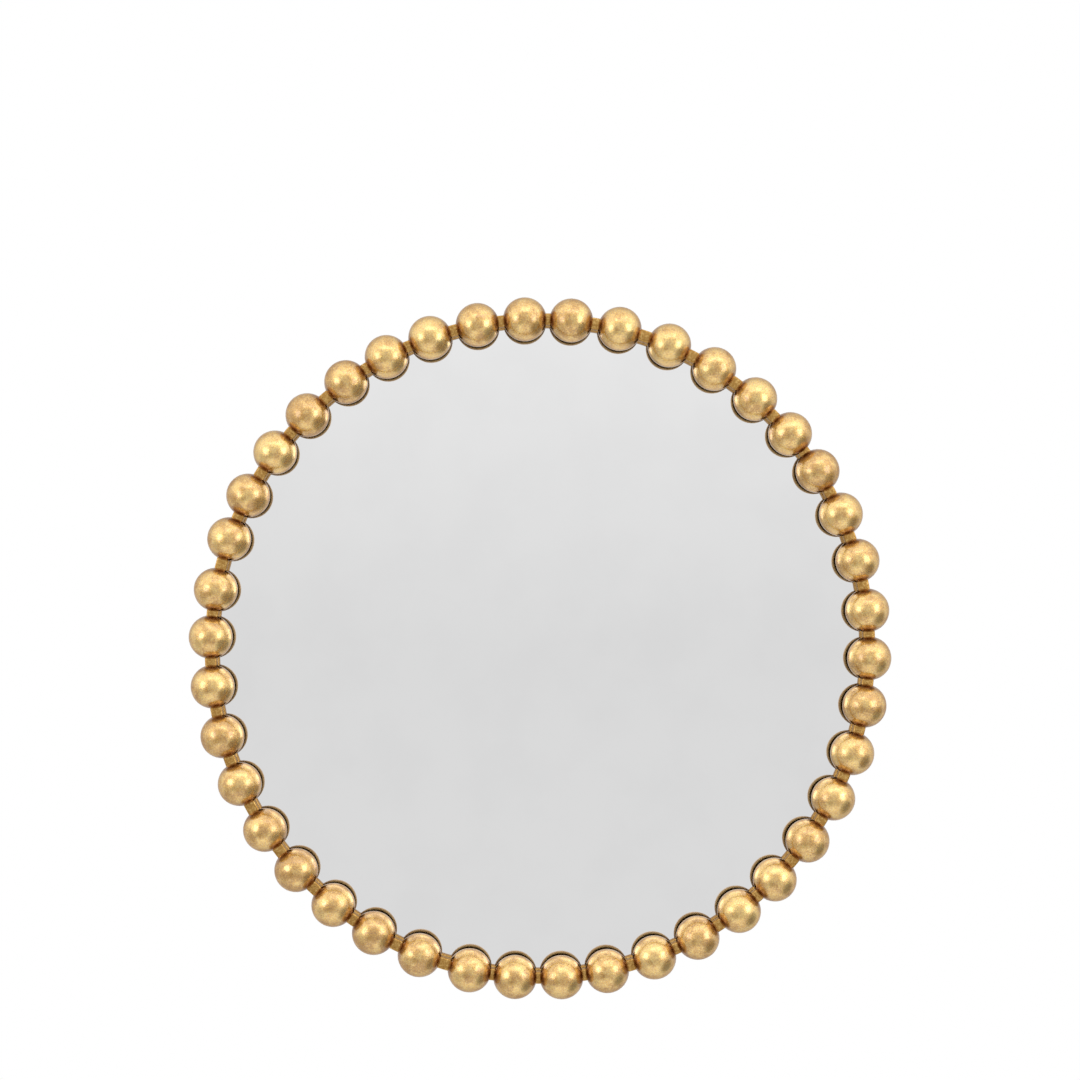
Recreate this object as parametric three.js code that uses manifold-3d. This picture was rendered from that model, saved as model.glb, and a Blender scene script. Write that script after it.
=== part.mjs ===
// Round wall mirror. Gilded metal beads, open at the back, sit astride a flat-sided bar ring. The
// ring lies on a flat silvered glass, and tabs on the ring fold over the backing board behind it.
// Millimetres, +Z up. Y is the mirror's axis: the face looks along -Y and the wall is on the +Y side.
// The origin is the centre of the backing board's rear face.
import * as THREE from 'three';
import { mergeVertices } from 'three/addons/utils/BufferGeometryUtils.js';
import Module from 'manifold-3d';

// Beads: pressed domes, slotted at both sides for the bar. Strung at their pitch they set the size
// of the ring, 800 mm across the outsides of the beads.
const beadCount = 42;
const beadDiameter = 50;
const beadGap = 6.1; // between neighbours, on average
const beadWall = 1.2;
const rimClearance = 6.5; // from the bead's open rim to the glass
const firstBeadAngle = 92.6; // degrees, seen from the front, anticlockwise from the right
// The beads are set by hand. Each letter is the gap that follows a bead, clockwise from the top:
// t tight, s snug, e even, l loose, w wide, one step apart.
const gapPattern = 'tewllet eelssee elseset ttwlell wllesws lelsses';
const gapStep = 0.3; // one letter's step, as a share of the average gap

// Bar ring: a flat-sided bar rolled into a hoop that runs through all the beads.
const barWidth = 12.7;
const barDepth = 16;
const barAheadOfCentre = 3; // the bar's front face lies this far in front of the beads' centres
const slotClearance = 0.3;

// Glass and backing board.
const glassThickness = 4;
const boardThickness = 9;
const boardInset = 1; // how much smaller the board's radius is than the glass's
const boardMiddle = 0.4; // the board's rear face has facets of its own out to this share of its radius

// Tabs: strips welded to the back of the bar and folded over the board.
const tabCount = 6;
const tabWidth = 14;
const tabThickness = 1.5;
const tabReach = 18;
const tabInset = 2.2; // from the bar's outer side to the tab
const tabToGlass = 1;

// Hangers: folded straps, each screwed to the board, with a D-ring through the loop.
const hangerSpacing = 360;
const hangerHeight = 150;
const strapWidth = 15;
const strapThickness = 1.2;
const strapSlit = 0.2; // between the folded strap's two leaves
const strapTail = 2.5; // how far the strap goes on past the hanging ring
const wireDiameter = 3;
const wireClearance = 0.3;
const ringSideClearance = 1.5; // from the strap's edge to the ring's corner
const ringCornerRadius = 3;
const ringSide = 5;
const ringJoint = 0.6; // where the wire's two ends meet, inside the loop
const restClearance = 0.3; // under the hanging ring

// Strap screws.
const shankDiameter = 3.5;
const headDiameter = 7.5;
const headHeight = 2.2;
const headToRing = 2;
const screwPoint = 3;
const boardUnderScrew = 1.6;
const holeClearance = 0.3;

// Bumpers: rubber discs that keep the lower edge off the wall.
const bumperDiameter = 15;
const bumperHeight = 6;
const bumperChamfer = 1.5;
const bumperInset = 36; // from the board's edge to the bumper's centre
const bumperSpread = 30; // degrees to each side of straight down

// Facets.
const hoopSegments = 126;
const discSegments = 84;
const beadSegments = 14;
const domeSteps = 4; // from a bead's front to its widest ring
const hollowSteps = 3;
const screwSegments = 12;
const bumperSegments = 20;

// What follows from the sizes above. Places along the axis are y, and distances from it are radii.
const beadRadius = beadDiameter / 2;
const beadCircle = beadCount * (beadDiameter + beadGap) / (2 * Math.PI);
const glassFront = -boardThickness - glassThickness;
const barFront = glassFront - barDepth;
const beadCentre = barFront + barAheadOfCentre;
const rimBehindCentre = glassFront - rimClearance - beadCentre;
const barInner = beadCircle - barWidth / 2;
const barOuter = beadCircle + barWidth / 2;
const tabOuter = barOuter - tabInset;
const tabInner = tabOuter - tabThickness;
const glassRadius = tabInner - tabToGlass;
const boardRadius = glassRadius - boardInset;
const wireRadius = wireDiameter / 2;
const loopInner = wireRadius + wireClearance;
const loopOuter = loopInner + strapThickness;
const strapFace = 2 * strapThickness + strapSlit;
const ringHalfWidth = strapWidth / 2 + ringSideClearance + ringCornerRadius;
const ringBowCentre = ringCornerRadius + ringSide;
const ringReach = ringBowCentre + ringHalfWidth;
const screwDrop = ringReach - wireRadius - headToRing - headDiameter / 2;
const strapLength = ringReach + wireRadius + strapTail;
const screwLength = strapFace + boardThickness - boardUnderScrew;
const screwHoleRadius = shankDiameter / 2 + holeClearance;
const screwHoleDepth = boardThickness - boardUnderScrew + holeClearance;

const gold = { color: 0xc9a05a, roughness: 0.42, metalness: 0.85 };
const darkGold = { color: 0xae834c, roughness: 0.5, metalness: 0.8 };
const silver = { color: 0xdcdcdc, roughness: 0.04, metalness: 1 };
const fibreboard = { color: 0x9c7448, roughness: 0.85, metalness: 0 };
const zinc = { color: 0xb4b6b5, roughness: 0.38, metalness: 0.9 };
const rubber = { color: 0x262626, roughness: 0.75, metalness: 0 };

const wasm = await Module();
wasm.setup();

function toSolid(geometry) {
  const bare = geometry.clone();
  bare.deleteAttribute('normal');
  bare.deleteAttribute('uv');
  const merged = mergeVertices(bare);
  const corners = [];
  for (let i = 0; i < merged.index.count; i += 3) {
    const [a, b, c] = [0, 1, 2].map((k) => merged.index.getX(i + k));
    const flatAtPole = a === b || b === c || c === a;
    if (!flatAtPole) corners.push(a, b, c);
  }
  return new wasm.Manifold(new wasm.Mesh({
    numProp: 3,
    vertProperties: merged.attributes.position.array,
    triVerts: Uint32Array.from(corners),
  }));
}

function toGeometry(solid) {
  const { vertProperties, triVerts } = solid.getMesh();
  const geometry = new THREE.BufferGeometry();
  geometry.setAttribute('position', new THREE.BufferAttribute(vertProperties, 3));
  geometry.setIndex(new THREE.BufferAttribute(triVerts, 1));
  geometry.computeVertexNormals();
  return geometry;
}

function piece(name, geometry, look) {
  const mesh = new THREE.Mesh(geometry, new THREE.MeshStandardMaterial(look));
  mesh.name = name;
  return mesh;
}

// A turned shape about the Y axis, with a facet corner on the +X side. Each point is [radius, y].
function turned(points, segments) {
  const profile = points.map(([radius, y]) => new THREE.Vector2(radius, y));
  return new THREE.LatheGeometry(profile, segments, Math.PI / 2);
}

function hoop(inner, outer, front, back) {
  const section = [[inner, front], [outer, front], [outer, back], [inner, back]];
  return turned([...section, section[0]], hoopSegments);
}

function disc(radius, front, back) {
  return turned([[0, front], [radius, front], [radius, back], [0, back]], discSegments);
}

// Turns a piece made on the +X side to its angle about the mirror's axis.
function around(angle, mesh) {
  const arm = new THREE.Group();
  arm.rotation.y = -angle;
  arm.add(mesh);
  return arm;
}

function beadAngles() {
  const letters = gapPattern.replaceAll(' ', '');
  const extraGaps = Array.from({ length: beadCount }, (_, i) => {
    const steps = 'tselw'.indexOf(letters[i % letters.length]) - 2;
    return steps * gapStep * beadGap;
  });
  const average = extraGaps.reduce((sum, gap) => sum + gap, 0) / beadCount;
  const angles = [THREE.MathUtils.degToRad(firstBeadAngle)];
  for (const extra of extraGaps.slice(0, -1)) {
    const pitch = beadDiameter + beadGap + extra - average;
    angles.push(angles.at(-1) - pitch / beadCircle);
  }
  return angles;
}

// One side of a bead's wall, from the front pole round to the open rim.
function domeArc(radius, quarterSteps) {
  const rim = Math.PI / 2 + Math.asin(rimBehindCentre / radius);
  const rings = Array.from({ length: quarterSteps + 1 }, (_, i) => i * Math.PI / 2 / quarterSteps);
  const turns = [...rings.filter((turn) => turn < rim), rim];
  return turns.map((turn) => [radius * Math.sin(turn), -radius * Math.cos(turn)]);
}

// A bead about its own centre. The middle of the hoop lies at -beadCircle along X.
function beadGeometry() {
  const outside = domeArc(beadRadius, domeSteps);
  const inside = domeArc(beadRadius - beadWall, hollowSteps).reverse();
  const dome = toSolid(turned([...outside, ...inside], beadSegments));
  const slotFront = -barAheadOfCentre - slotClearance;
  const slotBack = rimBehindCentre + beadWall;
  const slot = hoop(barInner - slotClearance, barOuter + slotClearance, slotFront, slotBack);
  slot.translate(-beadCircle, 0, 0);
  return toGeometry(dome.subtract(toSolid(slot)));
}

function addBeads(mirror, angles) {
  const geometry = beadGeometry();
  angles.forEach((angle, i) => {
    const bead = piece(`bead_${String(i + 1).padStart(2, '0')}`, geometry, gold);
    bead.position.set(beadCircle, beadCentre, 0);
    mirror.add(around(angle, bead));
  });
}

// A strip with one rounded bend, drawn in the radius-y plane: the leg runs back past the glass and
// the board, and the foot lies on the board's rear face.
function tabGeometry() {
  const bend = 2 * tabThickness;
  const outline = new THREE.Shape();
  outline.moveTo(tabInner, glassFront);
  outline.lineTo(tabOuter, glassFront);
  outline.absarc(tabOuter - bend, tabThickness - bend, bend, 0, Math.PI / 2, false);
  outline.lineTo(tabOuter - tabReach, tabThickness);
  outline.lineTo(tabOuter - tabReach, 0);
  outline.lineTo(tabInner, 0);
  outline.closePath();
  const strip = new THREE.ExtrudeGeometry(outline, { depth: tabWidth, bevelEnabled: false, curveSegments: 2 });
  return strip.translate(0, 0, -tabWidth / 2);
}

function addTabs(mirror, angles) {
  const geometry = tabGeometry();
  for (let i = 0; i < tabCount; i++) {
    const behindBead = angles[Math.floor(i * beadCount / tabCount)];
    mirror.add(around(behindBead, piece(`retaining_tab_${i + 1}`, geometry, zinc)));
  }
}

// The folded strap, drawn about its loop's centre with u pointing off the board and v up. The strip
// climbs the board, turns round the wire, comes down at 45 degrees and lies on itself.
function strapGeometry() {
  const upperInside = strapSlit - loopInner;
  const upperOutside = upperInside + strapThickness;
  const down45 = -Math.PI / 4;
  const neckEnd = (u, loopRadius) => u - Math.SQRT2 * loopRadius;
  const outline = new THREE.Shape();
  outline.moveTo(-loopOuter, -strapLength);
  outline.absarc(0, 0, loopOuter, Math.PI, down45, true);
  outline.lineTo(upperOutside, neckEnd(upperOutside, loopOuter));
  outline.lineTo(upperOutside, -strapLength);
  outline.lineTo(upperInside, -strapLength);
  outline.lineTo(upperInside, neckEnd(upperInside, loopInner));
  outline.absarc(0, 0, loopInner, down45, Math.PI, false);
  outline.lineTo(-loopInner, -strapLength);
  outline.closePath();
  const strip = new THREE.ExtrudeGeometry(outline, { depth: strapWidth, bevelEnabled: false, curveSegments: 5 });
  strip.translate(0, 0, -strapWidth / 2);
  const [right, back, up] = [[1, 0, 0], [0, 1, 0], [0, 0, 1]].map((axis) => new THREE.Vector3(...axis));
  strip.applyMatrix4(new THREE.Matrix4().makeBasis(back, up, right));
  const hole = new THREE.CylinderGeometry(screwHoleRadius, screwHoleRadius, 4 * loopOuter, screwSegments);
  hole.translate(0, 0, -screwDrop);
  return toGeometry(toSolid(strip).subtract(toSolid(hole)));
}

class Arc extends THREE.Curve {
  constructor(x, z, radius, from, to) {
    super();
    Object.assign(this, { x, z, radius, from, to });
  }

  getPoint(t, target = new THREE.Vector3()) {
    const angle = THREE.MathUtils.lerp(this.from, this.to, t);
    return target.set(this.x + this.radius * Math.cos(angle), 0, this.z + this.radius * Math.sin(angle));
  }
}

// The D-ring's wire runs along X through the strap's loop, turns down at both corners and closes in
// a half-round bow. Its ends meet in the loop.
function ringPath() {
  const corner = ringHalfWidth - ringCornerRadius;
  const at = (x, z) => new THREE.Vector3(x, 0, z);
  const path = new THREE.CurvePath();
  path.add(new THREE.LineCurve3(at(ringJoint / 2, 0), at(corner, 0)));
  path.add(new Arc(corner, -ringCornerRadius, ringCornerRadius, Math.PI / 2, 0));
  path.add(new THREE.LineCurve3(at(ringHalfWidth, -ringCornerRadius), at(ringHalfWidth, -ringBowCentre)));
  path.add(new Arc(0, -ringBowCentre, ringHalfWidth, 0, -Math.PI));
  path.add(new THREE.LineCurve3(at(-ringHalfWidth, -ringBowCentre), at(-ringHalfWidth, -ringCornerRadius)));
  path.add(new Arc(-corner, -ringCornerRadius, ringCornerRadius, Math.PI, Math.PI / 2));
  path.add(new THREE.LineCurve3(at(-corner, 0), at(-ringJoint / 2, 0)));
  return path;
}

function ringGeometry() {
  const section = new THREE.Shape();
  section.absarc(0, 0, wireRadius, 0, 2 * Math.PI, false);
  const options = { steps: 32, curveSegments: 4, bevelEnabled: false, extrudePath: ringPath() };
  return new THREE.ExtrudeGeometry(section, options);
}

function screwGeometry() {
  const shank = shankDiameter / 2;
  const head = headDiameter / 2;
  return turned([
    [0, -screwLength],
    [shank, screwPoint - screwLength],
    [shank, 0],
    [head, 0],
    [head, headHeight * 0.4],
    [head * 0.7, headHeight * 0.85],
    [0, headHeight],
  ], screwSegments);
}

function addHangers(mirror) {
  const restTilt = Math.asin((strapFace + restClearance + wireRadius - loopOuter) / ringReach);
  const strapShape = strapGeometry();
  const ringShape = ringGeometry();
  const screwShape = screwGeometry();
  for (const [side, x] of [['left', -hangerSpacing / 2], ['right', hangerSpacing / 2]]) {
    const hanger = new THREE.Group();
    hanger.position.set(x, loopOuter, hangerHeight);
    const ring = piece(`d_ring_${side}`, ringShape, zinc);
    ring.rotation.x = restTilt;
    const screw = piece(`strap_screw_${side}`, screwShape, zinc);
    screw.position.set(0, strapFace - loopOuter, -screwDrop);
    hanger.add(piece(`hanger_strap_${side}`, strapShape, zinc), ring, screw);
    mirror.add(hanger);
  }
}

function boardGeometry() {
  let board = toSolid(turned([
    [0, -boardThickness],
    [boardRadius, -boardThickness],
    [boardRadius, 0],
    [boardRadius * boardMiddle, 0],
    [0, 0],
  ], discSegments));
  for (const x of [-hangerSpacing / 2, hangerSpacing / 2]) {
    const pilot = new THREE.CylinderGeometry(screwHoleRadius, screwHoleRadius, 2 * screwHoleDepth, screwSegments);
    pilot.translate(x, 0, hangerHeight - screwDrop);
    board = board.subtract(toSolid(pilot));
  }
  return toGeometry(board);
}

function addBumpers(mirror) {
  const radius = bumperDiameter / 2;
  const profile = [
    [0, 0],
    [radius, 0],
    [radius, bumperHeight - bumperChamfer],
    [radius - bumperChamfer, bumperHeight],
    [0, bumperHeight],
  ];
  const geometry = turned(profile, bumperSegments);
  for (const [side, turn] of [['left', -bumperSpread], ['right', bumperSpread]]) {
    const bumper = piece(`wall_bumper_${side}`, geometry, rubber);
    bumper.position.x = boardRadius - bumperInset;
    mirror.add(around(THREE.MathUtils.degToRad(turn - 90), bumper));
  }
}

const mirror = new THREE.Group();
const angles = beadAngles();
addBeads(mirror, angles);
mirror.add(piece('bar_ring', hoop(barInner, barOuter, barFront, glassFront), darkGold));
mirror.add(piece('mirror_glass', disc(glassRadius, glassFront, -boardThickness), silver));
mirror.add(piece('backing_board', boardGeometry(), fibreboard));
addTabs(mirror, angles);
addHangers(mirror);
addBumpers(mirror);

export default mirror;
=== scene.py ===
import math

import bmesh
import bpy
from mathutils import Matrix, Vector


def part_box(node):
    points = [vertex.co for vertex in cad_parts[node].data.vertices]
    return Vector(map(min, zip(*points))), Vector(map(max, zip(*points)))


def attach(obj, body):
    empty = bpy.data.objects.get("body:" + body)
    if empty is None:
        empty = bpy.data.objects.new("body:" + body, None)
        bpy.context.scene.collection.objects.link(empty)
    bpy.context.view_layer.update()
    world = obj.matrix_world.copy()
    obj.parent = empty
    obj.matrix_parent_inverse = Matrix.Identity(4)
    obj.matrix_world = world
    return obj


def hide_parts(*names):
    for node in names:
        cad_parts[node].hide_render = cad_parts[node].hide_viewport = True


# Round wall mirror with a frame of gilded metal beads. Metres; the origin is the centre of the
# backing board's rear face, the mirror looks along -Y and the wall is on the +Y side.
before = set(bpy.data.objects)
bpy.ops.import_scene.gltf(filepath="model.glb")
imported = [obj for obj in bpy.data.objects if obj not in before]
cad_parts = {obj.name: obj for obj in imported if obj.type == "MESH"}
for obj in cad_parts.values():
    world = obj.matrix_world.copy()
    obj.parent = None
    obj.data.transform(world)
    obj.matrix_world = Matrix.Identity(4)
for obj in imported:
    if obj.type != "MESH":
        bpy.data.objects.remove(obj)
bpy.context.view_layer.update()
print("frame loaded:", len(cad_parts), "nodes")

mm = 0.001


class Signal:  # a socket in a node tree; operators and methods add nodes and return what comes out
    def __init__(self, tree, socket=None):
        self.tree = tree
        self.socket = socket

    def node(self, kind, settings=None, inputs=None, output=0):
        made = self.tree.nodes.new(kind)
        for name, value in (settings or {}).items():
            setattr(made, name, value)
        for key, value in (inputs or {}).items():
            if isinstance(value, Signal):
                self.tree.links.new(value.socket, made.inputs[key])
            else:
                made.inputs[key].default_value = value
        return Signal(self.tree, made.outputs[output] if len(made.outputs) else None)

    def maths(self, operation, first, second=0.0):
        return self.node("ShaderNodeMath", {"operation": operation}, {0: first, 1: second})

    def __add__(self, other):
        return self.maths("ADD", self, other)

    def __sub__(self, other):
        return self.maths("SUBTRACT", self, other)

    def __rsub__(self, other):
        return self.maths("SUBTRACT", other, self)

    def __mul__(self, other):
        return self.maths("MULTIPLY", self, other)

    def __pow__(self, other):
        return self.maths("POWER", self, other)

    def __abs__(self):
        return self.maths("ABSOLUTE", self)

    __radd__ = __add__
    __rmul__ = __mul__

    def atLeast(self, low):
        return self.maths("MAXIMUM", self, low)

    def atMost(self, high):
        return self.maths("MINIMUM", self, high)

    def rise(self, low, high):  # 0 below low, 1 above high, smooth between
        settings = {"interpolation_type": "SMOOTHSTEP"}
        return self.node("ShaderNodeMapRange", settings, {0: self, 1: low, 2: high})

    def blend(self, first, second):  # this signal picks between two colours
        first, second = (end if isinstance(end, Signal) else (*end, 1) for end in (first, second))
        return self.node("ShaderNodeMix", {"data_type": "RGBA"}, {0: self, 6: first, 7: second}, 2)

    def noise(self, size, detail=2.0, roughness=0.5, swirl=0.0):
        return self.node("ShaderNodeTexNoise", {}, {
            "Vector": self,
            "Scale": 1 / size,
            "Detail": detail,
            "Roughness": roughness,
            "Distortion": swirl,
        })

    def stretched(self, stretch, turn=(0, 0, 0)):  # patterns grow longer along the turned axes
        return self.node("ShaderNodeMapping", {"vector_type": "TEXTURE"}, {
            "Vector": self, "Rotation": turn, "Scale": stretch})

    def parts(self):
        split = self.node("ShaderNodeSeparateXYZ", {}, {0: self}).socket.node
        return [Signal(self.tree, socket) for socket in split.outputs]


def newFinish(name):
    material = bpy.data.materials.new(name)
    material.use_nodes = True
    material.node_tree.nodes.clear()
    place = Signal(material.node_tree).node("ShaderNodeTexCoord", output="Object")
    return material, place


def finishWith(place, colour, roughness, bump, bumpDepth, constants):
    normal = place.node("ShaderNodeBump", {}, {"Strength": 1.0, "Distance": bumpDepth, "Height": bump})
    values = {"Base Color": colour, "Roughness": roughness, "Normal": normal, **constants}
    shader = place.node("ShaderNodeBsdfPrincipled", {}, values)
    place.node("ShaderNodeOutputMaterial", {}, {"Surface": shader})


def newObject(name, data):
    made = bpy.data.objects.new(name, data)
    bpy.context.scene.collection.objects.link(made)
    return made


def smoothed(mesh, sharpFrom):
    mesh.shade_smooth()
    mesh.set_sharp_from_angle(angle=math.radians(sharpFrom))


def closedUp(mesh, sharpFrom, mergeWithin=None):  # faces look outward, doubled points are merged
    shell = bmesh.new()
    shell.from_mesh(mesh)
    if mergeWithin:
        bmesh.ops.remove_doubles(shell, verts=shell.verts, dist=mergeWithin)
    bmesh.ops.recalc_face_normals(shell, faces=shell.faces)
    shell.to_mesh(mesh)
    shell.free()
    smoothed(mesh, sharpFrom)


def meshObject(name, points, faces, finish, sharpFrom=35):
    mesh = bpy.data.meshes.new(name)
    mesh.from_pydata([tuple(point) for point in points], [], faces)
    closedUp(mesh, sharpFrom)
    mesh.materials.append(finish)
    return newObject(name, mesh)


def arc(x, y, radius, first, last, steps):  # angles in degrees
    turns = [math.radians(first + (last - first) * i / steps) for i in range(steps + 1)]
    return [(x + radius * math.cos(turn), y + radius * math.sin(turn)) for turn in turns]


def turned(name, profile, segments, finish, sharpFrom=35):  # [radius, y] from the axis back to it
    points, rings, faces = [], [], []
    for radius, y in profile:
        if radius < 1e-9:
            rings.append([len(points)] * segments)
            points.append((0, y, 0))
        else:
            rings.append(list(range(len(points), len(points) + segments)))
            for i in range(segments):
                angle = 2 * math.pi * i / segments
                points.append((radius * math.cos(angle), y, radius * math.sin(angle)))
    for ring, following in zip(rings, rings[1:]):
        for i in range(segments):
            k = (i + 1) % segments
            corners = [ring[i], ring[k], following[k], following[i]]
            faces.append(list(dict.fromkeys(corners)))
    return meshObject(name, points, faces, finish, sharpFrom)


def extruded(name, outline, width, finish):  # [y, z] outline, carried along X
    count = len(outline)
    points = [(side * width / 2, y, z) for side in (-1, 1) for y, z in outline]
    faces = [list(range(count)), list(range(count, 2 * count))]
    faces += [[i, (i + 1) % count, (i + 1) % count + count, i + count] for i in range(count)]
    return meshObject(name, points, faces, finish)


def settled(made):  # modifiers become plain mesh
    graph = bpy.context.evaluated_depsgraph_get()
    mesh = bpy.data.meshes.new_from_object(made.evaluated_get(graph))
    made.modifiers.clear()
    made.data = mesh
    return made


def bevelled(made, width, segments=2, sharpFrom=35):
    bevel = made.modifiers.new("edges", "BEVEL")
    bevel.width = width
    bevel.segments = segments
    bevel.limit_method = "ANGLE"
    bevel.angle_limit = math.radians(sharpFrom)
    settled(made)
    smoothed(made.data, sharpFrom)


def placed(piece, nodes, body="mirror"):
    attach(piece, body)
    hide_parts(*nodes)
    print("placed", piece.name, len(piece.data.polygons), "faces")


def centreOf(node):
    low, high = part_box(node)
    return (low + high) / 2


def nodesNamed(start):
    return sorted(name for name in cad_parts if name.startswith(start))


def onCircle(nodes, radius, y):  # each node's direction from the mirror's axis, at one radius
    places = []
    for node in nodes:
        middle = centreOf(node)
        angle = math.atan2(middle.z, middle.x)
        places.append((radius * math.cos(angle), y, radius * math.sin(angle)))
    return places


def newTree(name, kinds):  # a Geometry Nodes tree with one named input for each of kinds
    tree = bpy.data.node_groups.new(name, "GeometryNodeTree")
    identifiers = {}
    for label, kind in kinds.items():
        socket = tree.interface.new_socket(label, in_out="INPUT", socket_type="NodeSocket" + kind)
        identifiers[label] = socket.identifier
    tree.interface.new_socket("Shape", in_out="OUTPUT", socket_type="NodeSocketGeometry")
    start = Signal(tree)
    given = start.node("NodeGroupInput").socket.node
    wanted = {label: Signal(tree, given.outputs[label]) for label in kinds}
    return start, wanted, identifiers


def finishTree(start, shape, finish):
    real = start.node("GeometryNodeRealizeInstances", {}, {"Geometry": shape})
    painted = start.node("GeometryNodeSetMaterial", {}, {"Geometry": real, "Material": finish})
    start.node("NodeGroupOutput", {}, {"Shape": painted})


def grown(name, mesh, tree, identifiers, values):  # what the tree makes of the mesh, as plain mesh
    mesh.materials.append(values["Finish"])
    made = newObject(name, mesh)
    modifier = made.modifiers.new(name, "NODES")
    modifier.node_group = tree
    for label, value in values.items():
        modifier[identifiers[label]] = value
    return settled(made)


# One prototype is set at each place, and turned about the mirror's axis if withRing is true.
def setAtPlaces(name, places, prototype, finish, withRing, seed=1):
    start, wanted, identifiers = newTree(name, {
        "Places": "Geometry",
        "Piece": "Object",
        "Size": "Float",
        "Turn With Ring": "Float",
        "Seed": "Int",
        "Finish": "Material",
    })
    x, _, z = start.node("GeometryNodeInputPosition").parts()
    turn = x.maths("ARCTAN2", z, x) * wanted["Turn With Ring"] * -1
    shape = start.node("GeometryNodeObjectInfo", {}, {"Object": wanted["Piece"]}, "Geometry")
    copies = start.node("GeometryNodeInstanceOnPoints", {}, {
        "Points": wanted["Places"],
        "Instance": shape,
        "Rotation": start.node("ShaderNodeCombineXYZ", {}, {1: turn}),
        "Scale": start.node("ShaderNodeCombineXYZ", {}, {i: wanted["Size"] for i in range(3)}),
    })
    shade = start.node("FunctionNodeRandomValue", {"data_type": "FLOAT"}, {"Seed": wanted["Seed"]}, 1)
    settings = {"data_type": "FLOAT", "domain": "INSTANCE"}
    tagged = start.node("GeometryNodeStoreNamedAttribute", settings, {
        "Geometry": copies, "Name": "shade", "Value": shade})
    finishTree(start, tagged, wanted["Finish"])

    mesh = bpy.data.meshes.new(name)
    mesh.from_pydata([tuple(place) for place in places], [], [])
    row = grown(name, mesh, start.tree, identifiers, {
        "Piece": prototype,
        "Size": 1.0,
        "Turn With Ring": float(withRing),
        "Seed": seed,
        "Finish": finish,
    })
    bpy.data.objects.remove(prototype)
    return row


# The photograph's own view: square on, level with a point left of and above the mirror's centre.
view = {
    "picture": 1080,
    "ringCentre": (539.95, 648.46),  # pixels
    "ringPixels": 702.8,
    "ringSize": 0.8,
    "ringPlane": -0.026,
    "level": (510.5, 605.5),  # where the camera looks straight along +Y
    "lens": 71,
    "film": 36,
}


def addCamera():
    perPixel = view["ringSize"] / view["ringPixels"]
    distance = view["lens"] / view["film"] * view["picture"] * perPixel
    data = bpy.data.cameras.new("camera")
    data.lens = view["lens"]
    data.sensor_width = view["film"]
    data.shift_x = 0.5 - view["level"][0] / view["picture"]
    data.shift_y = view["level"][1] / view["picture"] - 0.5
    camera = newObject("camera", data)
    camera.location = (
        (view["level"][0] - view["ringCentre"][0]) * perPixel,
        view["ringPlane"] - distance,
        (view["ringCentre"][1] - view["level"][1]) * perPixel,
    )
    camera.rotation_euler = (math.radians(90), 0, 0)
    bpy.context.scene.camera = camera
    print("camera at", [round(v, 4) for v in camera.location])


addCamera()


# A white background, and for shiny surfaces a grey field ahead in a white room. Pairs of numbers
# are where a change starts and ends, on a direction's part along one axis from -1 to 1.
studio = {
    "plainLevel": 0.90,
    "ahead": 0.79,  # the grey that the mirror shows
    "aheadRise": 0.82,  # brighter upwards
    "aheadFoot": 0.017,  # the rise starts this far below level
    "aheadLimit": 0.18,
    "aheadSide": (0.40, 0.60),
    "aheadTop": (0.44, 0.66),
    "aheadFront": (0.5, 0.7),
    "around": 1.03,
    "belowLift": 0.14,
    "below": (0.3, 0.75),
    "belowBack": (-0.55, 0.05),
    "belowLoss": 1.7,
    "overhead": 0.42,
    "above": (-0.1, 0.4),
    "aboveBack": (-0.5, 0.8),
    "behind": 0.28,  # share lost behind the mirror
    "back": (-0.1, 0.8),
    "spots": {  # direction (x, y, z), cosines of the outer and inner edge, change of level
        "standRight": ((0.81, -0.21, -0.55), (0.80, 0.97), -0.66),
        "standLeft": ((-0.84, -0.26, -0.48), (0.87, 0.97), -0.30),
        "cameraSide": ((-0.47, -0.83, -0.30), (0.92, 0.985), -0.34),
        "windowRight": ((0.64, -0.42, 0.64), (0.84, 0.97), 0.18),
    },
}
lamps = {  # degrees to the side and up
    "lampLeft": {"direction": (-49, 7), "distance": 2.5, "size": (1.05, 1.15), "radiance": 1.75},
    "lampRight": {"direction": (48, 9), "distance": 2.5, "size": (1.10, 1.30), "radiance": 1.75},
    "lampTop": {"direction": (6, 50), "distance": 2.5, "size": (2.4, 0.7), "radiance": 0.8},
}
floor = {
    "radius": 3.6,
    "height": -1.45,
    "segments": 128,
    "dark": (0.80, 0.79, 0.77),
    "light": (0.85, 0.84, 0.82),
    "grain": 0.02,
    "cloud": 0.7,
    "bump": 0.3 * mm,
}


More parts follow.
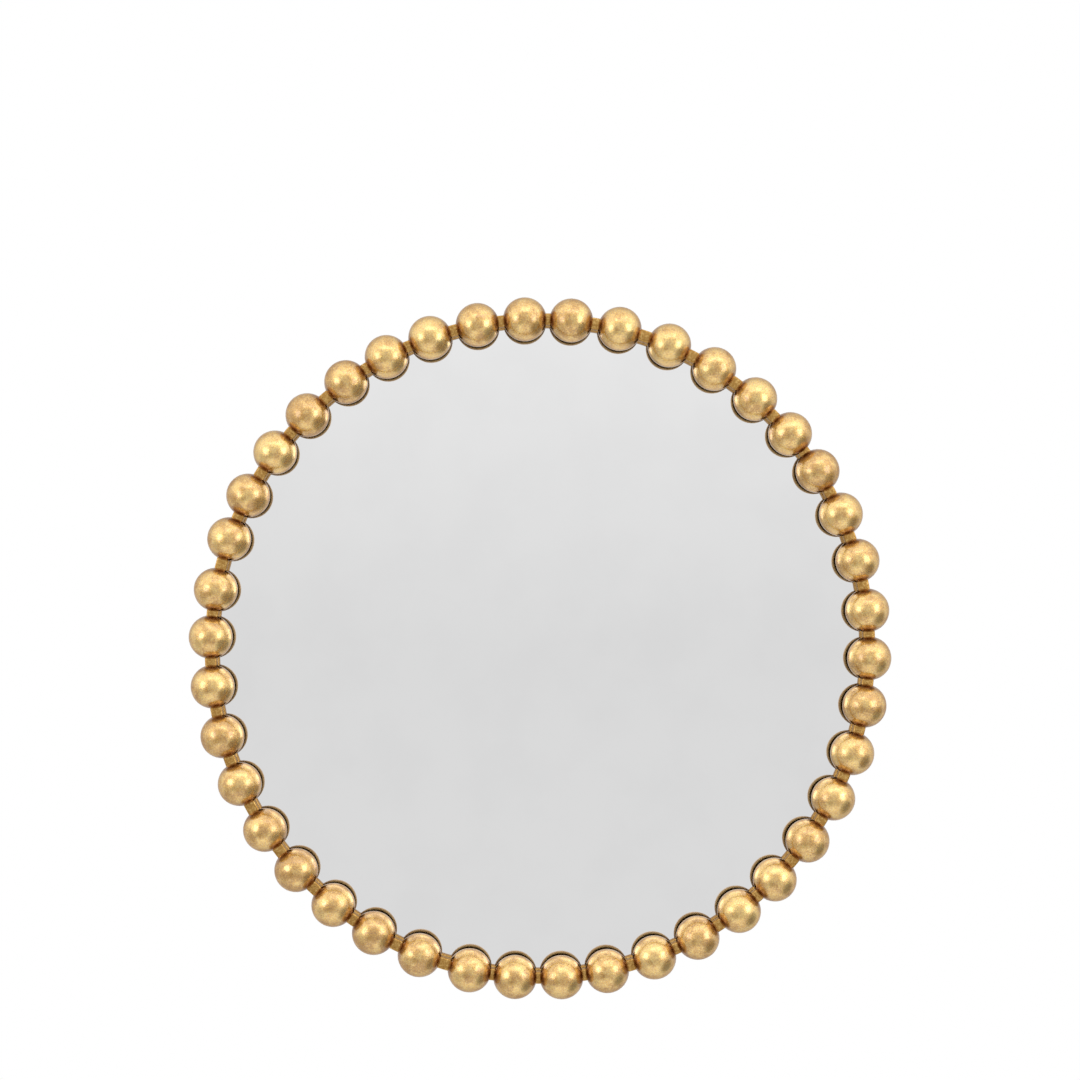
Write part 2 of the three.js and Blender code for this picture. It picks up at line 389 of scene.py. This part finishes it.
def addWorld():
    world = bpy.data.worlds.new("studio")
    world.use_nodes = True
    world.node_tree.nodes.clear()
    bpy.context.scene.world = world
    start = Signal(world.node_tree)
    direction = start.node("ShaderNodeTexCoord", output="Generated")
    x, y, z = direction.parts()
    ahead = (1 - abs(x).rise(*studio["aheadSide"])) * (1 - abs(z).rise(*studio["aheadTop"]))
    ahead = ahead * (0 - y).rise(*studio["aheadFront"])
    height = (z + studio["aheadFoot"]).atLeast(0.0)
    field = studio["ahead"] + height.atMost(studio["aheadLimit"]) * studio["aheadRise"]
    below = (0 - z).rise(*studio["below"])
    below = below * (1 - y.rise(*studio["belowBack"]) * studio["belowLoss"])
    above = z.rise(*studio["above"]) * (1 - y.rise(*studio["aboveBack"]))
    room = studio["around"] + below * studio["belowLift"] + above * studio["overhead"]
    room = room * (1 - y.rise(*studio["back"]) * studio["behind"])
    seen = ahead * field + (1 - ahead) * room
    for towards, edges, change in studio["spots"].values():
        settings = {"operation": "DOT_PRODUCT"}
        nearness = start.node("ShaderNodeVectorMath", settings, {0: direction, 1: towards}, "Value")
        seen = seen * (1 + nearness.rise(*edges) * change)
    path = start.node("ShaderNodeLightPath").socket.node
    cameraRay, glossy, through = (
        Signal(world.node_tree, path.outputs[f"Is {kind} Ray"])
        for kind in ("Camera", "Glossy", "Transmission")
    )
    shine = glossy.atLeast(through)
    level = seen * shine + studio["plainLevel"] * (1 - shine)
    level = level * (1 - cameraRay) + cameraRay
    grey = start.node("ShaderNodeCombineColor", {}, {i: level for i in range(3)})
    background = start.node("ShaderNodeBackground", {}, {"Color": grey, "Strength": 1.0})
    start.node("ShaderNodeOutputWorld", {}, {"Surface": background})


def addLamps():
    for name, lamp in lamps.items():
        data = bpy.data.lights.new(name, "AREA")
        data.shape = "RECTANGLE"
        data.size, data.size_y = lamp["size"]
        data.energy = lamp["radiance"] * math.pi * lamp["size"][0] * lamp["size"][1]
        made = newObject(name, data)
        side, up = (math.radians(angle) for angle in lamp["direction"])
        away = Vector((
            math.sin(side) * math.cos(up), -math.cos(side) * math.cos(up), math.sin(up)))
        made.location = away * lamp["distance"]
        made.rotation_euler = away.to_track_quat("Z", "Y").to_euler()
        made.visible_camera = False


def addFloor():
    material, place = newFinish("paleFloor")
    grain = place.noise(floor["grain"], 3.0)
    colour = place.noise(floor["cloud"], 2.0).blend(floor["dark"], floor["light"])
    finishWith(place, colour, 0.6 + grain * 0.1, grain, floor["bump"], {"IOR": 1.4})
    count = floor["segments"]
    turns = [2 * math.pi * i / count for i in range(count)]
    points = [
        (math.cos(turn) * floor["radius"], math.sin(turn) * floor["radius"], floor["height"])
        for turn in turns
    ]
    made = meshObject("floor", points, [list(range(count))], material)
    made.visible_glossy = False  # metal and glass show the studio instead


addWorld()
addLamps()
addFloor()
bpy.context.scene.view_settings.view_transform = "Standard"
print("studio ready")


# Gilded beads: pressed domes, open behind, slotted at both sides for the bar. The pairs are the
# levels of a pattern between which it turns from none to full.
bead = {
    "radius": 24.92 * mm,
    "wall": 1.2 * mm,
    "rim": 6.5 * mm,  # the open rim lies this far behind the bead's centre
    "rimEdge": 0.2 * mm,
    "centre": -26 * mm,
    "circle": 375 * mm,
    "slotHalf": 6.65 * mm,
    "slotFront": -3.3 * mm,
    "slotAt": 23.9 * mm,  # from the bead's centre along the bar
    "sideSteps": 17,
    "slotSteps": 4,
    "frontSteps": 13,
    "backSteps": 4,
    "hollowSteps": 6,
    "seed": 11,
    "deep": (0.27, 0.108, 0.012),
    "leaf": (0.66, 0.36, 0.042),
    "pale": (0.84, 0.59, 0.150),
    "patinaAndShade": (0.27, 0.098, 0.010),  # patina and painted shade where the bar enters
    "bare": (0.27, 0.175, 0.080),  # thin gilding and painted shade behind the widest part
    "hollow": (0.15, 0.095, 0.045),
    "edgeTint": (0.78, 0.53, 0.31),
    "cloud": 13 * mm,
    "grain": 2.6 * mm,
    "fleck": 1.6 * mm,
    "speck": 1.1 * mm,
    "bump": 0.27 * mm,
    "shadeSpread": 0.17,  # how much one bead differs from the next
    "paleFrom": (0.44, 0.64),
    "wornFrom": (0.48, 0.68),
    "veinFrom": (0.01, 0.05),
    "jointFrom": (0.68, 0.93),
    "hollowFrom": (0.45, 0.9),
    "brightFleck": (0.54, 0.64),
    "darkFleck": (0.55, 0.64),
    "bareFrom": (-25.0 * mm, -22.5 * mm),
    "bareWander": 6 * mm,
    "darkening": {"worn": 0.38, "vein": 0.16, "fleck": 0.30},
    "coverage": 0.85,  # of the patina and painted shade at the joints, and of the bare part with its painted shade
    "roughness": {"leaf": 0.26, "worn": 0.16, "pale": 0.03, "bare": 0.3},
}


def gilding():
    material, place = newFinish("beadGilding")
    shade, hollow, joint = (
        place.node("ShaderNodeAttribute", {"attribute_name": name}, output="Fac")
        for name in ("shade", "hollow", "joint")
    )
    hollow = hollow.rise(*bead["hollowFrom"])
    depth = place.parts()[1]
    cloud = place.noise(bead["cloud"], 3.0, 0.55) + (shade - 0.5) * bead["shadeSpread"]
    grain = place.noise(bead["grain"], 3.0, 0.65, 0.8)
    specks = place.noise(bead["speck"], 2.0, 0.6, 0.5)
    fleck = place.noise(bead["fleck"], 1.0, 0.5)
    # Behind the bead's widest part: thin gilding, plus painted shade that darkens the bead's outer
    # edge seen from the front.
    bare = (depth + (grain - 0.5) * bead["bareWander"]).rise(*bead["bareFrom"])
    pale = (grain * 0.45 + cloud * 0.55).rise(*bead["paleFrom"])
    worn = (specks * 0.6 + (1 - grain) * 0.4 + (0.5 - cloud) * 1.1).rise(*bead["wornFrom"])
    vein = 1 - abs(grain - 0.5).rise(*bead["veinFrom"])  # thin lines where the leaf has cracked
    # Near the slots: patina, plus painted shade standing in for the dark reflections where the bar
    # enters.
    joint = (joint + (0.5 - grain) * 0.2).rise(*bead["jointFrom"])
    bright = pale * 0.6 + fleck.rise(*bead["brightFleck"]) * 0.4
    dark = worn * bead["darkening"]["worn"] + vein * bead["darkening"]["vein"]
    dark = dark + (1 - fleck).rise(*bead["darkFleck"]) * bead["darkening"]["fleck"]
    colour = bright.blend(bead["leaf"], bead["pale"])
    colour = dark.blend(colour, bead["deep"])
    # Patina and painted shade, darker towards the slots where the bar enters.
    colour = (joint * bead["coverage"]).blend(colour, bead["patinaAndShade"])
    # Thin gilding and painted shade behind the widest part.
    colour = (bare * bead["coverage"]).blend(colour, bead["bare"])
    colour = hollow.blend(colour, bead["hollow"])
    rough = bead["roughness"]
    roughness = rough["leaf"] + worn * rough["worn"] - pale * rough["pale"] + bare * rough["bare"]
    bump = grain * 0.6 + specks * 0.45 + cloud
    finishWith(place, colour, roughness, bump, bead["bump"], {
        "Metallic": (1 - bare * 0.7) * (1 - hollow * 0.5),
        "Specular Tint": (*bead["edgeTint"], 1),
        "Coat Weight": (1 - worn * 0.25) * (1 - bare) * (1 - hollow),
        "Coat Roughness": 0.2,
        "Coat IOR": 2.2,
    })
    return material


def beadPrototype(finish):  # the local axes are radial, the mirror's Y, and along the bar
    inner = bead["radius"] - bead["wall"]
    # The bar curves inward at the slots.
    shift = math.sqrt(bead["circle"] ** 2 - bead["slotAt"] ** 2) - bead["circle"]
    sideCount, slotCount = bead["sideSteps"], bead["slotSteps"]

    def columns(ring):
        first = math.asin((bead["slotHalf"] + shift) / ring)
        last = math.asin((bead["slotHalf"] - shift) / ring)
        outward = [first + (math.pi - 2 * first) * i / sideCount for i in range(sideCount + 1)]
        far = [math.pi - first + (first + last) * i / slotCount for i in range(1, slotCount)]
        inward = [
            math.pi + last + (math.pi - 2 * last) * i / sideCount for i in range(sideCount + 1)]
        near = [2 * math.pi - last + (first + last) * i / slotCount for i in range(1, slotCount)]
        return outward + far + inward + near

    points, isHollow, faces = [], [], []

    def ringRow(radius, y, angles, hollow):
        start = len(points)
        for angle in angles:
            points.append((radius * math.sin(angle), y, radius * math.cos(angle)))
            isHollow.append(hollow)
        return list(range(start, len(points)))

    def domeRows(sphere, steps, hollow):
        slotRing = math.sqrt(sphere ** 2 - bead["slotFront"] ** 2)
        end = math.acos(-bead["slotFront"] / sphere)
        angles = columns(slotRing)
        pole = ringRow(0, -sphere, [0], hollow)
        rows = [pole * len(angles)]
        for i in range(1, steps + 1):
            turn = end * i / steps
            rows.append(ringRow(sphere * math.sin(turn), -sphere * math.cos(turn), angles, hollow))
        return rows

    def skirtRows(sphere, hollow):
        last = bead["rim"] - bead["rimEdge"]
        rows = []
        for i in range(1, bead["backSteps"] + 1):
            y = bead["slotFront"] + (last - bead["slotFront"]) * i / bead["backSteps"]
            ring = math.sqrt(sphere ** 2 - y ** 2)
            rows.append(ringRow(ring, y, columns(ring), hollow))
        return rows

    def strip(first, second, picks):
        for a, b in zip(picks, picks[1:]):
            faces.append(list(dict.fromkeys([first[a], first[b], second[b], second[a]])))

    count = len(columns(bead["radius"]))
    sideA = list(range(0, sideCount + 1))
    sideB = list(range(sideCount + slotCount, 2 * sideCount + slotCount + 1))
    outside = domeRows(bead["radius"], bead["frontSteps"], 0.0)
    inside = domeRows(inner, bead["hollowSteps"], 1.0)
    for rows in (outside, inside):
        for first, second in zip(rows, rows[1:]):
            strip(first, second, [*range(count), 0])

    # The skirt behind the slots runs out to the rim and back inside, in two halves.
    outsideBack = [outside[-1]] + skirtRows(bead["radius"], 0.0)
    insideBack = [inside[-1]] + skirtRows(inner, 1.0)
    rimOuter = math.sqrt(bead["radius"] ** 2 - bead["rim"] ** 2) - bead["rimEdge"]
    rimInner = math.sqrt(inner ** 2 - bead["rim"] ** 2) + bead["rimEdge"]
    rimRows = [ringRow(ring, bead["rim"], columns(ring), 0.0) for ring in (rimOuter, rimInner)]
    chain = outsideBack + rimRows + insideBack[::-1]
    for picks in (sideA, sideB):
        for first, second in zip(chain, chain[1:]):
            strip(first, second, picks)
    for i in range(len(chain) // 2 - 1):
        for end in (sideA[0], sideA[-1], sideB[0], sideB[-1]):
            faces.append([chain[k][end] for k in (i, i + 1, -2 - i, -1 - i)])
    for picks in (list(range(sideA[-1], sideB[0] + 1)), [*range(sideB[-1], count), 0]):
        strip(outside[-1], inside[-1], picks)

    made = meshObject("beadShape", points, faces, finish, 30)
    tags = {"hollow": isHollow, "joint": [abs(point[2]) / bead["radius"] for point in points]}
    for label, values in tags.items():
        made.data.attributes.new(label, "FLOAT", "POINT").data.foreach_set("value", values)
    shell = bmesh.new()
    shell.from_mesh(made.data)
    unused = [point for point in shell.verts if not point.link_faces]
    bmesh.ops.delete(shell, geom=unused, context="VERTS")
    shell.to_mesh(made.data)
    shell.free()
    return made


def addBeads():
    finish = gilding()
    nodes = nodesNamed("bead_")
    places = onCircle(nodes, bead["circle"], bead["centre"])
    beads = setAtPlaces("gildedBeads", places, beadPrototype(finish), finish, True, bead["seed"])
    placed(beads, nodes)


addBeads()


# The bar ring, which runs through all the beads.
bar = {
    "radius": 375 * mm,
    "width": 12.7 * mm,
    "depth": 16 * mm,
    "middle": -21 * mm,
    "edge": 1.1 * mm,
    "segments": 252,
    "edgeSteps": 3,
    "mergeWithin": 1e-6,
    "deep": (0.20, 0.105, 0.030),
    "base": (0.45, 0.240, 0.056),
    "pale": (0.68, 0.44, 0.150),
    "edgeTint": (0.72, 0.52, 0.30),
    "grain": 2.6 * mm,
    "speck": 1.2 * mm,
    "bump": 0.17 * mm,
    "paleFrom": (0.46, 0.68),
    "wornFrom": (0.50, 0.66),
    "darkening": 0.7,
    "roughness": 0.30,
    "wornRoughness": 0.14,
    "coat": 0.25,
    "wornCoat": 0.2,
}


def barGilding():
    material, place = newFinish("barGilding")
    grain = place.noise(bar["grain"], 4.0, 0.65, 0.6)
    specks = place.noise(bar["speck"], 3.0, 0.6)
    pale = grain.rise(*bar["paleFrom"])
    worn = (specks * 0.6 + (1 - grain) * 0.4).rise(*bar["wornFrom"])
    colour = pale.blend(bar["base"], bar["pale"])
    colour = (worn * bar["darkening"]).blend(colour, bar["deep"])
    roughness = bar["roughness"] + worn * bar["wornRoughness"]
    finishWith(place, colour, roughness, grain * 0.7 + specks * 0.3, bar["bump"], {
        "Metallic": 1.0,
        "Specular Tint": (*bar["edgeTint"], 1),
        "Coat Weight": bar["coat"] - worn * bar["wornCoat"],
        "Coat Roughness": 0.2,
    })
    return material


def addBar():
    start, wanted, identifiers = newTree("barRing", {
        "Ring Radius": "Float",
        "Bar Width": "Float",
        "Bar Depth": "Float",
        "Edge Round": "Float",
        "Finish": "Material",
    })
    hoop = start.node("GeometryNodeCurvePrimitiveCircle", {}, {
        "Resolution": bar["segments"], "Radius": wanted["Ring Radius"]})
    section = start.node("GeometryNodeCurvePrimitiveQuadrilateral", {}, {
        "Width": wanted["Bar Width"], "Height": wanted["Bar Depth"]})
    section = start.node("GeometryNodeFilletCurve", {"mode": "POLY"}, {
        "Curve": section, "Radius": wanted["Edge Round"], "Count": bar["edgeSteps"]})
    swept = start.node("GeometryNodeCurveToMesh", {}, {"Curve": hoop, "Profile Curve": section})
    upright = start.node("GeometryNodeTransform", {}, {
        "Geometry": swept,
        "Translation": (0, bar["middle"], 0),
        "Rotation": (math.radians(90), 0, 0),
    })
    finishTree(start, upright, wanted["Finish"])
    ring = grown("barRing", bpy.data.meshes.new("barRing"), start.tree, identifiers, {
        "Ring Radius": bar["radius"],
        "Bar Width": bar["width"],
        "Bar Depth": bar["depth"],
        "Edge Round": bar["edge"],
        "Finish": barGilding(),
    })
    closedUp(ring.data, 35, bar["mergeWithin"])
    placed(ring, ["bar_ring"])


addBar()


# Silvered glass: the silvering shows at its apparent depth, inside the ledge that the bar rests on.
glass = {
    "radius": 376.5 * mm,
    "front": -13 * mm,
    "silver": -10.4 * mm,
    "back": -9 * mm,
    "ledge": 371.5 * mm,
    "edge": 0.4 * mm,
    "segments": 252,
    "silverColour": (0.887, 0.887, 0.888),
    # faint cloudy patches: a painted reflection of the studio's grey cloth
    "reflectedClothColour": (0.867, 0.867, 0.869),
    # the glass edge's own dark green, plus painted shade where the glass lies under the bar
    "edgeShadeColour": (0.050, 0.060, 0.050),
    "darkBefore": (0.5 * mm, 0.2 * mm),  # the silver ends this far inside the ledge
    "cloud": 90 * mm,
    "cloudFrom": (0.35, 0.7),
    "smear": 6 * mm,
    "smearStretch": (1, 1, 2.5),
    "wave": 45 * mm,
    "bump": 0.004 * mm,
    "roughness": {"clean": 0.018, "cloud": 0.008, "smear": 0.006, "edge": 0.2},
}


def silvering():
    material, place = newFinish("silvering")
    x, _, z = place.parts()
    radius = (x * x + z * z) ** 0.5
    # The ledge and the face under the bar: glass edge colour plus painted shade from the bar above it.
    edge = radius.rise(*(glass["ledge"] - gap for gap in glass["darkBefore"]))
    # Faint cloudy patches in the silver colour, a painted reflection of the studio's grey cloth.
    cloud = place.noise(glass["cloud"], 3.0, 0.55).rise(*glass["cloudFrom"])
    smear = place.stretched(glass["smearStretch"]).noise(glass["smear"], 3.0)
    colour = cloud.blend(glass["silverColour"], glass["reflectedClothColour"])
    colour = edge.blend(colour, glass["edgeShadeColour"])
    rough = glass["roughness"]
    roughness = rough["clean"] + cloud * rough["cloud"] + smear * rough["smear"] + edge * rough["edge"]
    wave = place.noise(glass["wave"], 1.0)
    finishWith(place, colour, roughness, wave, glass["bump"], {"Metallic": 1 - edge})
    return material


def addGlass():
    edge = glass["edge"]
    profile = [
        (0, glass["silver"]),
        (glass["ledge"] * 0.5, glass["silver"]),
        (glass["ledge"] - 2 * mm, glass["silver"]),
        (glass["ledge"], glass["silver"]),
        (glass["ledge"], glass["front"]),
        (glass["radius"] - edge, glass["front"]),
        (glass["radius"], glass["front"] + edge),
        (glass["radius"], glass["back"] - edge),
        (glass["radius"] - edge, glass["back"]),
        (0, glass["back"]),
    ]
    piece = turned("silveredGlass", profile, glass["segments"], silvering())
    placed(piece, ["mirror_glass"])


addGlass()


# The backing board: raw fibreboard with a sawn edge.
board = {
    "radius": 375.5 * mm,
    "front": -9 * mm,
    "edge": 0.7 * mm,
    "segments": 180,
    "fibreDark": (0.225, 0.135, 0.068),
    "fibreMid": (0.335, 0.207, 0.110),
    "fibrePale": (0.425, 0.280, 0.162),
    "strand": 0.45 * mm,
    "strandStretch": (1, 1, 5),
    "strandTurns": (0.2, 1.3, 2.4),  # radians, in the board's plane
    "strandFrom": (1.25, 1.75),  # of the three added up
    "cloud": 55 * mm,
    "cloudFrom": (0.3, 0.72),
    "chip": 1.1 * mm,
    "chipFrom": (0.60, 0.74),
    "sawnBefore": (0.9 * mm, 0.2 * mm),  # the sawn edge starts this far inside the rim
    "bump": 0.05 * mm,
}


def fibreboard():
    material, place = newFinish("boardFibre")
    x, _, z = place.parts()
    radius = (x * x + z * z) ** 0.5
    sawn = radius.rise(*(board["radius"] - gap for gap in board["sawnBefore"]))
    cloud = place.noise(board["cloud"], 3.0).rise(*board["cloudFrom"])
    fibre, crossed, slanted = (
        place.stretched(board["strandStretch"], (0, turn, 0)).noise(board["strand"], 3.0, 0.6, 1.2)
        for turn in board["strandTurns"]
    )
    chip = place.noise(board["chip"], 3.0).rise(*board["chipFrom"])
    fibres = fibre + crossed + slanted
    strands = fibres.rise(*board["strandFrom"])
    colour = strands.blend(board["fibreDark"], board["fibrePale"])
    colour = (cloud * 0.5).blend(colour, board["fibreMid"])
    colour = (chip * 0.45).blend(colour, board["fibreDark"])
    colour = (sawn * 0.5).blend(colour, board["fibreDark"])
    finishWith(place, colour, 0.78 + strands * 0.12, fibres, board["bump"], {"IOR": 1.45})
    return material


def addBoard():
    edge = board["edge"]
    profile = [
        (0, board["front"]),
        (board["radius"] - edge, board["front"]),
        (board["radius"], board["front"] + edge),
        (board["radius"], -edge),
        (board["radius"] - edge, 0),
        (board["radius"] * 0.5, 0),
        (0, 0),
    ]
    piece = turned("backingBoard", profile, board["segments"], fibreboard())
    placed(piece, ["backing_board"])


addBoard()


# Zinc-plated steel, for the tabs, straps, D-rings and screws.
zinc = {
    "bright": (0.66, 0.67, 0.665),
    "dull": (0.47, 0.48, 0.485),
    "grimeColour": (0.22, 0.21, 0.19),
    "patch": 5 * mm,
    "patchFrom": (0.35, 0.68),
    "scratch": 0.5 * mm,
    "scratchStretch": (1, 1, 8),
    "scratchTurn": (0.2, 0.4, 0),
    "grime": 2.4 * mm,
    "grimeFrom": (0.60, 0.76),
    "bump": 0.02 * mm,
}


def zincPlate():
    material, place = newFinish("zincPlate")
    spangle = place.noise(zinc["patch"], 3.0).rise(*zinc["patchFrom"])
    along = place.stretched(zinc["scratchStretch"], zinc["scratchTurn"])
    scratch = along.noise(zinc["scratch"], 2.0)
    grime = place.noise(zinc["grime"], 4.0, 0.7).rise(*zinc["grimeFrom"])
    colour = spangle.blend(zinc["dull"], zinc["bright"])
    colour = (grime * 0.5).blend(colour, zinc["grimeColour"])
    roughness = 0.30 + (scratch - 0.5) * 0.25 + grime * 0.25
    finishWith(place, colour, roughness, scratch + spangle * 0.3, zinc["bump"], {"Metallic": 1.0})
    return material


zincFinish = zincPlate()


# Tabs, welded to the ring's outer half and folded over the board.
tab = {
    "outer": 379.15 * mm,
    "thickness": 1.5 * mm,
    "reach": 18 * mm,
    "width": 14 * mm,
    "start": -13 * mm,
    "bend": 3 * mm,
    "bendSteps": 8,
    "edge": 0.3 * mm,
}


def addTabs():
    thick, bend = tab["thickness"], tab["bend"]
    outline = [(tab["start"], -thick), (0.0, -thick), (0.0, -tab["reach"]), (thick, -tab["reach"])]
    outline += arc(thick - bend, -bend, bend, 0, 90, tab["bendSteps"])
    outline.append((tab["start"], 0.0))
    shape = extruded("tabShape", outline, tab["width"], zincFinish)
    bevelled(shape, tab["edge"])
    # The outline's z becomes the radius.
    shape.data.transform(Matrix(((0, 0, 1, 0), (0, 1, 0, 0), (-1, 0, 0, 0), (0, 0, 0, 1))))
    nodes = nodesNamed("retaining_tab_")
    tabs = setAtPlaces("retainingTabs", onCircle(nodes, tab["outer"], 0), shape, zincFinish, True)
    placed(tabs, nodes)


addTabs()


# Hangers: a folded strap, a D-ring in its loop and a screw, on each side.
hanger = {
    "spacing": 360 * mm,
    "height": 150 * mm,
    "stripWidth": 15 * mm,
    "strip": 1.2 * mm,
    "slit": 0.2 * mm,
    "wire": 3 * mm,
    "clearance": 0.3 * mm,
    "length": 24 * mm,
    "edge": 0.2 * mm,
    "loopSteps": (16, 20),  # inside and outside
    "ringHalf": 12 * mm,
    "ringCorner": 3 * mm,
    "cornerSteps": 8,
    "bowCentre": 8 * mm,
    "bowSteps": 32,
    "wireSegments": 20,
    "ringJoint": 0.6 * mm,
    "ringTilt": 4.01,  # degrees off the board, at rest on the strap
    "mergeWithin": 1e-7,
    "screwDrop": 12.75 * mm,
}
hanger["loopInner"] = hanger["wire"] / 2 + hanger["clearance"]
hanger["loopOuter"] = hanger["loopInner"] + hanger["strip"]
hanger["face"] = 2 * hanger["strip"] + hanger["slit"]
sides = {"left": -1, "right": 1}


def hangerPlace(side, y, drop=0.0):
    return (side * hanger["spacing"] / 2, y, hanger["height"] - drop)


def addStraps():
    small, large = hanger["loopInner"], hanger["loopOuter"]
    smallSteps, largeSteps = hanger["loopSteps"]
    slitTop = hanger["slit"] - small
    faceTop = slitTop + hanger["strip"]
    down = -hanger["length"]
    outline = [(-large, down)]
    outline += arc(0, 0, large, 180, -45, largeSteps)
    outline += [(faceTop, faceTop - math.sqrt(2) * large), (faceTop, down), (slitTop, down)]
    outline += [(slitTop, slitTop - math.sqrt(2) * small)]
    outline += arc(0, 0, small, -45, 180, smallSteps)
    outline += [(-small, down)]
    shape = extruded("strapShape", outline, hanger["stripWidth"], zincFinish)
    bevelled(shape, hanger["edge"], 1)
    places = [hangerPlace(side, large) for side in sides.values()]
    straps = setAtPlaces("hangerStraps", places, shape, zincFinish, False)
    placed(straps, ["hanger_strap_left", "hanger_strap_right"])


addStraps()


def ringPath():
    corner = hanger["ringHalf"] - hanger["ringCorner"]
    start = hanger["ringJoint"] / 2
    path = [(start, 0.0), (corner * 0.5, 0.0)]
    path += arc(corner, -hanger["ringCorner"], hanger["ringCorner"], 90, 0, hanger["cornerSteps"])
    path += arc(0, -hanger["bowCentre"], hanger["ringHalf"], 0, -180, hanger["bowSteps"])
    path += arc(-corner, -hanger["ringCorner"], hanger["ringCorner"], 180, 90, hanger["cornerSteps"])
    path += [(-corner * 0.5, 0.0), (-start, 0.0)]
    return path


def addRing(word, side):
    name = "dRing" + word.capitalize()
    start, wanted, identifiers = newTree(name, {
        "Path": "Geometry",
        "Wire Diameter": "Float",
        "Finish": "Material",
    })
    curve = start.node("GeometryNodeMeshToCurve", {}, {"Mesh": wanted["Path"]})
    section = start.node("GeometryNodeCurvePrimitiveCircle", {}, {
        "Resolution": hanger["wireSegments"], "Radius": wanted["Wire Diameter"] * 0.5})
    swept = start.node("GeometryNodeCurveToMesh", {}, {
        "Curve": curve, "Profile Curve": section, "Fill Caps": True})
    finishTree(start, swept, wanted["Finish"])

    points = ringPath()
    mesh = bpy.data.meshes.new(name)
    mesh.from_pydata([(x, 0, z) for x, z in points], [(i, i + 1) for i in range(len(points) - 1)], [])
    ring = grown(name, mesh, start.tree, identifiers, {
        "Wire Diameter": hanger["wire"],
        "Finish": zincFinish,
    })
    pivot = Matrix.Translation(hangerPlace(side, hanger["loopOuter"]))
    ring.data.transform(pivot @ Matrix.Rotation(math.radians(hanger["ringTilt"]), 4, "X"))
    closedUp(ring.data, 50, hanger["mergeWithin"])
    placed(ring, ["d_ring_" + word], word + "_ring")


for word, side in sides.items():
    addRing(word, side)


# The straps' screws, with a domed head and a crossed recess. Brim and foot are shares.
screw = {
    "shank": 1.75 * mm,
    "head": 3.75 * mm,
    "height": 2.2 * mm,
    "length": 10 * mm,
    "point": 3 * mm,
    "chamfer": 0.15 * mm,
    "brim": 0.32,
    "domeSteps": 8,
    "segments": 40,
    "recessLength": 4.4 * mm,
    "recessWidth": 0.95 * mm,
    "recessDepth": 1.3 * mm,
    "recessFoot": 0.45,
    "recessTurn": 25,  # degrees
}


def addScrews():
    head, height, brim = screw["head"], screw["height"], screw["brim"]
    profile = [
        (0, -screw["length"]),
        (screw["shank"], screw["point"] - screw["length"]),
        (screw["shank"], 0),
        (head - screw["chamfer"], 0),
        (head, screw["chamfer"]),
        (head, height * brim),
    ]
    dome = arc(0, 0, 1, 0, 90, screw["domeSteps"])[1:-1]
    profile += [(head * across, height * (brim + (1 - brim) * up)) for across, up in dome]
    profile.append((0, height))
    shape = turned("screwShape", profile, screw["segments"], zincFinish)

    half, wide = screw["recessLength"] / 2, screw["recessWidth"] / 2
    foot = half * screw["recessFoot"]
    low, high = height - screw["recessDepth"], height + 1 * mm
    corners = [(-foot, low), (foot, low), (half, high), (-half, high)]
    points = [(x, y, z) for z in (-wide, wide) for x, y in corners]
    faces = [[0, 1, 2, 3], [4, 5, 6, 7], [0, 1, 5, 4], [1, 2, 6, 5], [2, 3, 7, 6], [3, 0, 4, 7]]
    for angle in (screw["recessTurn"], screw["recessTurn"] + 90):
        cutter = meshObject("recessCutter", points, faces, zincFinish)
        cutter.data.transform(Matrix.Rotation(math.radians(angle), 4, "Y"))
        cut = shape.modifiers.new("recess", "BOOLEAN")
        cut.operation = "DIFFERENCE"
        cut.solver = "EXACT"
        cut.object = cutter
        settled(shape)
        bpy.data.objects.remove(cutter)
    smoothed(shape.data, 30)
    places = [hangerPlace(side, hanger["face"], hanger["screwDrop"]) for side in sides.values()]
    screws = setAtPlaces("strapScrews", places, shape, zincFinish, False)
    placed(screws, ["strap_screw_left", "strap_screw_right"])


addScrews()


# Rubber bumpers at the lower edge.
bumper = {
    "radius": 7.5 * mm,
    "height": 6 * mm,
    "edge": 1.5 * mm,
    "edgeSteps": 6,
    "segments": 48,
    "rubber": (0.018, 0.018, 0.019),
    "dusty": (0.045, 0.044, 0.042),
    "dust": 1.6 * mm,
    "dustFrom": (0.42, 0.75),
    "grain": 0.35 * mm,
    "bump": 0.04 * mm,
}


def rubber():
    material, place = newFinish("bumperRubber")
    dust = place.noise(bumper["dust"], 4.0, 0.65).rise(*bumper["dustFrom"])
    grain = place.noise(bumper["grain"], 2.0)
    colour = dust.blend(bumper["rubber"], bumper["dusty"])
    finishWith(place, colour, 0.62 + dust * 0.2, grain + dust * 0.4, bumper["bump"], {"IOR": 1.5})
    return material


def addBumpers():
    finish = rubber()
    edge, radius, height = bumper["edge"], bumper["radius"], bumper["height"]
    profile = [(0, 0), (radius, 0)]
    profile += arc(radius - edge, height - edge, edge, 0, 90, bumper["edgeSteps"])
    profile += [(radius * 0.4, height), (0, height)]
    shape = turned("bumperShape", profile, bumper["segments"], finish, 40)
    nodes = ["wall_bumper_left", "wall_bumper_right"]
    places = [(centreOf(node).x, 0, centreOf(node).z) for node in nodes]
    bumpers = setAtPlaces("wallBumpers", places, shape, finish, True)
    placed(bumpers, nodes)


addBumpers()
